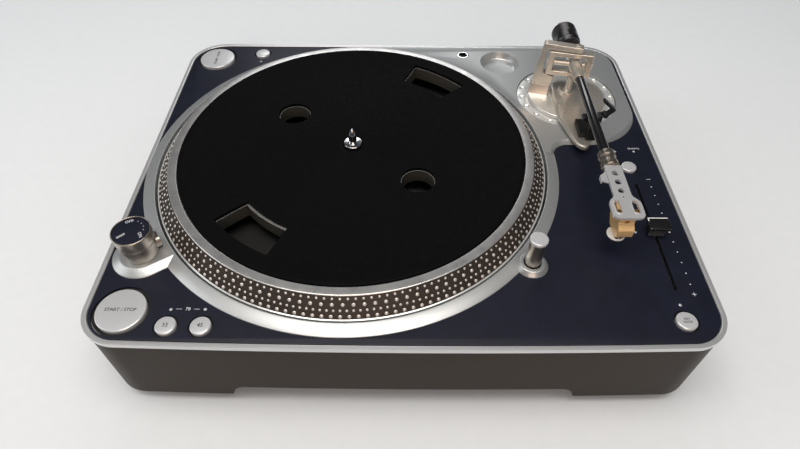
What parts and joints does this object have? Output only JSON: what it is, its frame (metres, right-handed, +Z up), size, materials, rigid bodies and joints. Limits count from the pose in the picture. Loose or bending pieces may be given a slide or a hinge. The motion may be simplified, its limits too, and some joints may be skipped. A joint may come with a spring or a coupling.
{
  "type": "direct drive turntable",
  "caption": "Record player for DJ use: low silver body with a dark deck, heavy platter on a direct drive motor, straight tonearm in a gimbal, pitch fader and press buttons.",
  "frame": {"origin": "centre of the body's outline, on the table under the feet", "axes": "+X to the right as seen from the front, +Y to the back, +Z up; the tonearm is on the right"},
  "size_m": [0.45, 0.37, 0.1448],
  "materials": {
    "silver_paint": "satin silver paint",
    "navy_paint": "satin dark navy paint",
    "cast_aluminium": "turned bright",
    "brushed_nickel": "brushed, warm grey",
    "chrome": "polished",
    "steel": "bright",
    "mat_rubber": "matt black, ribbed",
    "black_rubber": "matt black",
    "black_plastic": "satin black",
    "black_enamel": "gloss black enamel on aluminium tube",
    "black_weight": "black enamel on steel",
    "button_plastic": "silver",
    "smoked_lens": "smoked, dark red",
    "gold_plastic": "metallic gold",
    "pale_plastic": "pale",
    "circuit_board": "green",
    "copper_winding": "enamelled copper",
    "iron_core": "laminated",
    "ferrite": "sintered",
    "brass": "gold plated"
  },
  "bodies": {
    "base": {"base_tub": "silver_paint", "bottom_cover": "black_plastic", "foot_front_left": "black_rubber", "foot_front_right": "black_rubber", "foot_rear_left": "black_rubber", "foot_rear_right": "black_rubber", "jack_tray": "black_plastic", "phono_socket_left": "brass", "phono_socket_right": "brass", "ground_post": "steel", "power_inlet": "black_plastic", "main_board": "circuit_board", "transformer": "iron_core", "top_cover": "silver_paint", "deck_panel_front": "navy_paint", "deck_panel_rear": "navy_paint", "bearing_housing": "steel", "motor_stator": "copper_winding", "strobe_housing": "brushed_nickel", "strobe_window": "smoked_lens", "power_switch": "black_plastic", "light_sleeve": "black_plastic", "switch_board_front": "circuit_board", "switch_board_rear": "circuit_board", "pitch_board": "circuit_board", "pitch_fader_body": "steel", "headshell_socket": "steel", "arm_collar": "steel"},
    "platter_body": {"platter": "cast_aluminium", "platter_mat": "mat_rubber", "spindle": "chrome", "rotor_magnet": "ferrite"},
    "knob_body": {"power_knob": "brushed_nickel", "power_knob_disc": "navy_paint"},
    "light_body": {"target_light": "button_plastic"},
    "start_front_body": {"start_stop_front": "button_plastic"},
    "start_rear_body": {"start_stop_rear": "button_plastic"},
    "speed_33_body": {"speed_33_button": "button_plastic"},
    "speed_45_body": {"speed_45_button": "button_plastic"},
    "reverse_body": {"reverse_button": "button_plastic"},
    "quartz_body": {"quartz_button": "button_plastic"},
    "key_lock_body": {"key_lock_button": "button_plastic"},
    "pitch_body": {"pitch_cap": "black_plastic", "pitch_lever": "steel"},
    "height_dial_body": {"arm_height_dial": "cast_aluminium"},
    "arm_mount_body": {"arm_base": "cast_aluminium", "gimbal_yoke": "cast_aluminium", "arm_rest": "black_plastic"},
    "clip_body": {"arm_clip": "black_plastic"},
    "ring_body": {"gimbal_ring": "cast_aluminium"},
    "arm_body": {"arm_root": "cast_aluminium", "arm_tube": "black_enamel", "headshell": "chrome", "finger_lift": "chrome", "cartridge": "gold_plastic", "stylus": "pale_plastic"},
    "collar_body": {"collar_nut": "chrome"},
    "weight_dial_body": {"weight_dial": "black_plastic"},
    "weight_body": {"counterweight": "black_weight"}
  },
  "joints": [
    {"name": "platter_spin", "type": "hinge", "parent": "base", "child": "platter_body", "pos_m": [-0.0441, 0.0019, 0.086], "axis": [0, 0, 1], "continuous": true},
    {"name": "power_knob_turn", "type": "hinge", "parent": "base", "child": "knob_body", "pos_m": [-0.1975, -0.1055, 0.086], "axis": [0, 0, -1], "range_deg": [0, 60]},
    {"name": "target_light_slide", "type": "slide", "parent": "base", "child": "light_body", "axis": [0, 0, -1], "range_m": [0, 0.022], "stiffness_N_per_m": 20, "springref_m": -0.03},
    {"name": "start_front_press", "type": "slide", "parent": "base", "child": "start_front_body", "axis": [0, 0, -1], "range_m": [0, 0.001], "stiffness_N_per_m": 300, "springref_m": -0.003},
    {"name": "start_rear_press", "type": "slide", "parent": "base", "child": "start_rear_body", "axis": [0, 0, -1], "range_m": [0, 0.001], "stiffness_N_per_m": 300, "springref_m": -0.003},
    {"name": "speed_33_press", "type": "slide", "parent": "base", "child": "speed_33_body", "axis": [0, 0, -1], "range_m": [0, 0.001], "stiffness_N_per_m": 300, "springref_m": -0.003},
    {"name": "speed_45_press", "type": "slide", "parent": "base", "child": "speed_45_body", "axis": [0, 0, -1], "range_m": [0, 0.001], "stiffness_N_per_m": 300, "springref_m": -0.003},
    {"name": "reverse_press", "type": "slide", "parent": "base", "child": "reverse_body", "axis": [0, 0, -1], "range_m": [0, 0.001], "stiffness_N_per_m": 300, "springref_m": -0.003},
    {"name": "quartz_press", "type": "slide", "parent": "base", "child": "quartz_body", "axis": [0, 0, -1], "range_m": [0, 0.001], "stiffness_N_per_m": 300, "springref_m": -0.003},
    {"name": "key_lock_press", "type": "slide", "parent": "base", "child": "key_lock_body", "axis": [0, 0, -1], "range_m": [0, 0.001], "stiffness_N_per_m": 300, "springref_m": -0.003},
    {"name": "pitch_slide", "type": "slide", "parent": "base", "child": "pitch_body", "axis": [0, 1, 0], "range_m": [-0.05, 0.05]},
    {"name": "height_dial_turn", "type": "hinge", "parent": "base", "child": "height_dial_body", "pos_m": [0.1585, 0.0915, 0.086], "axis": [0, 0, 1], "range_deg": [0, 270]},
    {"name": "arm_height", "type": "slide", "parent": "base", "child": "arm_mount_body", "axis": [0, 0, 1], "range_m": [0, 0.006]},
    {"name": "arm_clip_turn", "type": "hinge", "parent": "arm_mount_body", "child": "clip_body", "pos_m": [0.1713, 0.02025, 0.122], "axis": [0, -1, 0], "range_deg": [0, 40]},
    {"name": "arm_swing", "type": "hinge", "parent": "arm_mount_body", "child": "ring_body", "pos_m": [0.1585, 0.0915, 0.125], "axis": [0, 0, -1], "range_deg": [0, 55]},
    {"name": "arm_lift", "type": "hinge", "parent": "ring_body", "child": "arm_body", "pos_m": [0.1585, 0.0915, 0.125], "axis": [-0.9816, 0.1908, 0], "range_deg": [0, 12]},
    {"name": "collar_turn", "type": "hinge", "parent": "arm_body", "child": "collar_body", "pos_m": [0.1585, -0.0415, 0.125], "axis": [0, -1, 0], "range_deg": [0, 60]},
    {"name": "weight_slide", "type": "slide", "parent": "arm_body", "child": "weight_dial_body", "axis": [0, 1, 0], "range_m": [-0.004, 0.004]},
    {"name": "counterweight_turn", "type": "hinge", "parent": "weight_dial_body", "child": "weight_body", "pos_m": [0.1585, 0.135, 0.125], "axis": [0, 1, 0], "range_deg": [-720, 720]}
  ],
  "couplings": [
    {"joint": "height_dial_turn", "follows": "arm_height", "rad_per_m": 785.4},
    {"joint": "counterweight_turn", "follows": "weight_slide", "rad_per_m": 3141.6}
  ]
}
